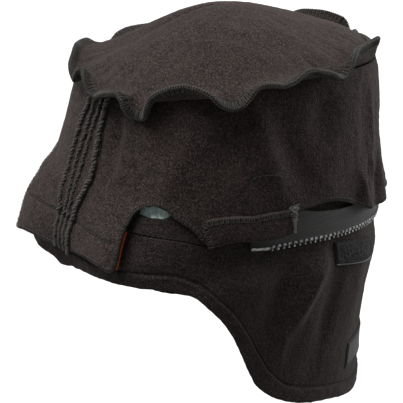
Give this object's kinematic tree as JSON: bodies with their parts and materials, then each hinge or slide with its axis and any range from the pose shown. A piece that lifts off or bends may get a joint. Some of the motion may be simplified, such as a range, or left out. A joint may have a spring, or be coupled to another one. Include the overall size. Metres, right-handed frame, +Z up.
{
  "type": "helmet liner",
  "caption": "Cold-weather fleece helmet liner with a ruffled crown, a brow flap, temple notches, a half zipper and a cape over ears and neck.",
  "frame": {"origin": "the point of the crown's inner side that rests on the top of the head", "axes": "+Z up, -Y towards the wearer's front, +X towards the wearer's left"},
  "size_m": [0.172, 0.2228, 0.253],
  "materials": {
    "outer_fleece": "matt brushed pile, charcoal",
    "inner_fleece": "matt brushed pile, charcoal",
    "overlock_thread": "twisted polyester thread",
    "zipper_tape": "satin woven tape",
    "zipper_metal": "silver grey, slightly dull",
    "loop_fabric": "looped pile, dark grey",
    "label_cloth": "smooth woven cloth, dark slate",
    "orange_ribbon": "woven ribbon",
    "mint_lining": "smooth woven lining"
  },
  "bodies": {
    "root": {"crown_panel": "outer_fleece", "outer_wall": "outer_fleece", "front_seam": "overlock_thread", "turned_flap_left": "outer_fleece", "turned_flap_right": "outer_fleece", "inner_band": "inner_fleece", "ear_neck_cape": "inner_fleece", "zipper_tape": "zipper_tape", "zipper_teeth": "zipper_metal", "zipper_pin": "zipper_metal", "loop_patch": "loop_fabric", "nape_label": "label_cloth", "edge_tab": "orange_ribbon", "lining_strip": "mint_lining"}
  },
  "joints": []
}
